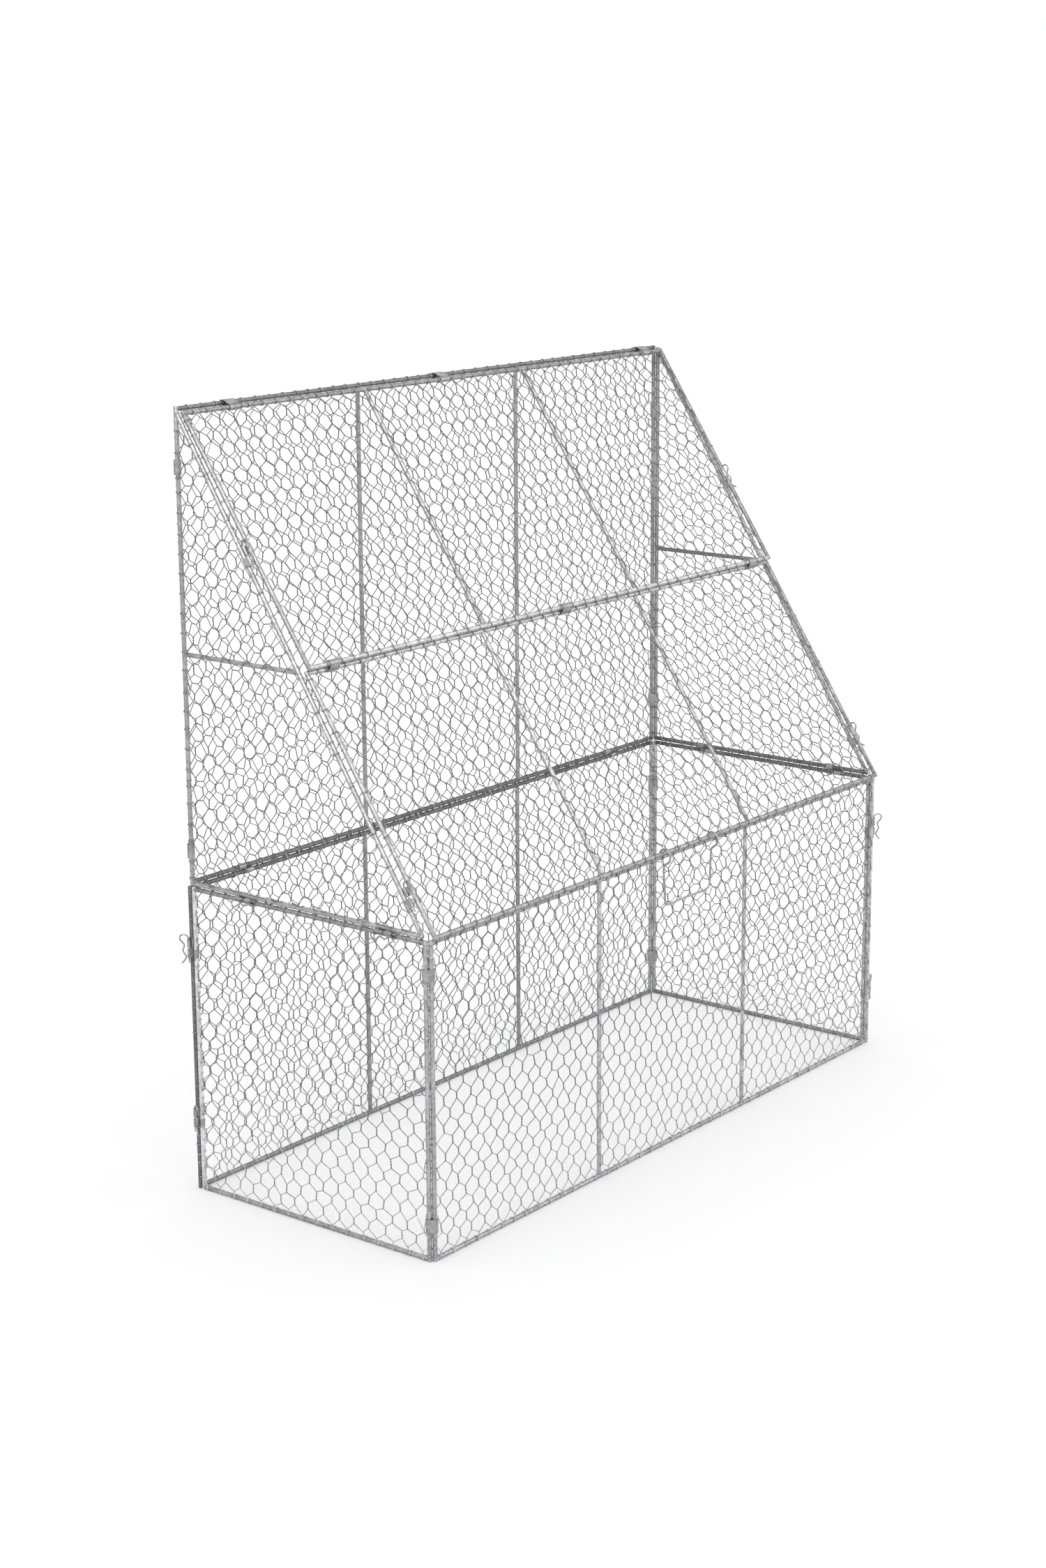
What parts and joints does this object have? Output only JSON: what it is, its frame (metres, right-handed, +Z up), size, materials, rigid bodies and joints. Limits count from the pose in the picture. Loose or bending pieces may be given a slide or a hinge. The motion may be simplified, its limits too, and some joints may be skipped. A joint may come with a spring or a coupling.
{
  "type": "folding wire mesh plant cage",
  "caption": "Folding free-standing cage of galvanised rod frames covered with hexagonal wire netting, with a sloping hinged lid, strap hinges, R-clips and an open bottom.",
  "frame": {"origin": "middle of the open bottom, on the ground", "axes": "+X along the width to the right seen from the front, +Y from the low front to the tall back, +Z up"},
  "size_m": [1.0631, 0.4293, 1.0333],
  "materials": {
    "rod": "dull hot-dip galvanised round rod",
    "netting": "thin galvanised wire",
    "sheet": "galvanised sheet strap",
    "wire": "bright zinc-plated spring wire"
  },
  "bodies": {
    "base": {"base_back_frame": "rod", "base_back_netting_1": "netting", "base_back_netting_2": "netting", "base_back_netting_3": "netting", "base_front_frame": "rod", "base_front_netting_1": "netting", "base_front_netting_2": "netting", "base_front_netting_3": "netting"},
    "left_side": {"base_left_frame": "rod", "base_left_netting": "netting", "front_left_strap_1": "sheet", "front_left_strap_2": "sheet"},
    "right_side": {"base_right_frame": "rod", "base_right_netting": "netting", "back_right_strap_1": "sheet", "back_right_strap_2": "sheet"},
    "upper": {"upper_back_frame": "rod", "upper_back_netting_1": "netting", "upper_back_netting_2": "netting", "upper_back_netting_3": "netting"},
    "upper_left_side": {"upper_left_frame": "rod", "upper_left_netting_1": "netting", "upper_left_netting_2": "netting", "upper_left_strap_1": "sheet", "upper_left_strap_2": "sheet"},
    "upper_right_side": {"upper_right_frame": "rod", "upper_right_netting_1": "netting", "upper_right_netting_2": "netting", "upper_right_strap_1": "sheet", "upper_right_strap_2": "sheet"},
    "lid_top_half": {"lid_upper_frame": "rod", "lid_upper_netting_1": "netting", "lid_upper_netting_2": "netting", "lid_upper_netting_3": "netting", "top_strap_1": "sheet", "top_strap_2": "sheet", "top_strap_3": "sheet"},
    "lid_bottom_half": {"lid_lower_frame": "rod", "lid_lower_netting_1": "netting", "lid_lower_netting_2": "netting", "lid_lower_netting_3": "netting", "middle_strap_1": "sheet", "middle_strap_2": "sheet", "middle_strap_3": "sheet"},
    "handle": {"lifting_handle": "wire"},
    "back_left_clip_1": {"back_left_clip_1": "wire"},
    "back_left_clip_2": {"back_left_clip_2": "wire"},
    "front_right_clip_1": {"front_right_clip_1": "wire"},
    "front_right_clip_2": {"front_right_clip_2": "wire"},
    "left_clip_1": {"left_clip_1": "wire"},
    "left_clip_2": {"left_clip_2": "wire"},
    "right_clip_1": {"right_clip_1": "wire"},
    "right_clip_2": {"right_clip_2": "wire"},
    "back_clip_1": {"back_clip_1": "wire"},
    "back_clip_2": {"back_clip_2": "wire"},
    "lid_left_clip_1": {"lid_left_clip_1": "wire"},
    "lid_left_clip_2": {"lid_left_clip_2": "wire"},
    "lid_right_clip_1": {"lid_right_clip_1": "wire"},
    "lid_right_clip_2": {"lid_right_clip_2": "wire"}
  },
  "joints": [
    {"name": "left_side_swing", "type": "hinge", "parent": "base", "child": "left_side", "pos_m": [-0.5103, -0.2, 0.2], "axis": [0, 0, 1], "range_deg": [0, 130]},
    {"name": "right_side_swing", "type": "hinge", "parent": "base", "child": "right_side", "pos_m": [0.5103, 0.2, 0.2], "axis": [0, 0, 1], "range_deg": [0, 130]},
    {"name": "upper_lift_off", "type": "slide", "parent": "base", "child": "upper", "axis": [0, 0, 1], "range_m": [0, 0.15]},
    {"name": "upper_left_swing", "type": "hinge", "parent": "upper", "child": "upper_left_side", "pos_m": [-0.5103, 0.2, 0.7], "axis": [0, 0, -1], "range_deg": [0, 130]},
    {"name": "upper_right_swing", "type": "hinge", "parent": "upper", "child": "upper_right_side", "pos_m": [0.5103, 0.2, 0.7], "axis": [0, 0, 1], "range_deg": [0, 130]},
    {"name": "lid_opening", "type": "hinge", "parent": "upper", "child": "lid_top_half", "pos_m": [0, 0.2, 1.029], "axis": [-1, 0, 0], "range_deg": [0, 185]},
    {"name": "lid_folding", "type": "hinge", "parent": "lid_top_half", "child": "lid_bottom_half", "pos_m": [0, -0.01255, 0.72765], "axis": [-1, 0, 0], "range_deg": [0, 135]},
    {"name": "handle_swing", "type": "hinge", "parent": "lid_bottom_half", "child": "handle", "pos_m": [0.022, -0.20703, 0.42032], "axis": [-1, 0, 0], "range_deg": [0, 115]},
    {"name": "back_left_clip_1_pull", "type": "slide", "parent": "base", "child": "back_left_clip_1", "axis": [0, 0, 1], "range_m": [0, 0.034], "deforming": ["back_left_clip_1"]},
    {"name": "back_left_clip_2_pull", "type": "slide", "parent": "base", "child": "back_left_clip_2", "axis": [0, 0, 1], "range_m": [0, 0.034], "deforming": ["back_left_clip_2"]},
    {"name": "front_right_clip_1_pull", "type": "slide", "parent": "base", "child": "front_right_clip_1", "axis": [0, 0, 1], "range_m": [0, 0.034], "deforming": ["front_right_clip_1"]},
    {"name": "front_right_clip_2_pull", "type": "slide", "parent": "base", "child": "front_right_clip_2", "axis": [0, 0, 1], "range_m": [0, 0.034], "deforming": ["front_right_clip_2"]},
    {"name": "left_clip_1_pull", "type": "slide", "parent": "left_side", "child": "left_clip_1", "axis": [0, 1, 0], "range_m": [0, 0.034], "deforming": ["left_clip_1"]},
    {"name": "left_clip_2_pull", "type": "slide", "parent": "left_side", "child": "left_clip_2", "axis": [0, 1, 0], "range_m": [0, 0.034], "deforming": ["left_clip_2"]},
    {"name": "right_clip_1_pull", "type": "slide", "parent": "right_side", "child": "right_clip_1", "axis": [0, 1, 0], "range_m": [0, 0.034], "deforming": ["right_clip_1"]},
    {"name": "right_clip_2_pull", "type": "slide", "parent": "right_side", "child": "right_clip_2", "axis": [0, 1, 0], "range_m": [0, 0.034], "deforming": ["right_clip_2"]},
    {"name": "back_clip_1_pull", "type": "slide", "parent": "base", "child": "back_clip_1", "axis": [-1, 0, 0], "range_m": [0, 0.034], "deforming": ["back_clip_1"]},
    {"name": "back_clip_2_pull", "type": "slide", "parent": "base", "child": "back_clip_2", "axis": [-1, 0, 0], "range_m": [0, 0.034], "deforming": ["back_clip_2"]},
    {"name": "lid_left_clip_1_pull", "type": "slide", "parent": "upper_left_side", "child": "lid_left_clip_1", "axis": [0, 0.5373, 0.8434], "range_m": [0, 0.034], "deforming": ["lid_left_clip_1"]},
    {"name": "lid_left_clip_2_pull", "type": "slide", "parent": "upper_left_side", "child": "lid_left_clip_2", "axis": [0, 0.5373, 0.8434], "range_m": [0, 0.034], "deforming": ["lid_left_clip_2"]},
    {"name": "lid_right_clip_1_pull", "type": "slide", "parent": "upper_right_side", "child": "lid_right_clip_1", "axis": [0, 0.5373, 0.8434], "range_m": [0, 0.034], "deforming": ["lid_right_clip_1"]},
    {"name": "lid_right_clip_2_pull", "type": "slide", "parent": "upper_right_side", "child": "lid_right_clip_2", "axis": [0, 0.5373, 0.8434], "range_m": [0, 0.034], "deforming": ["lid_right_clip_2"]}
  ]
}
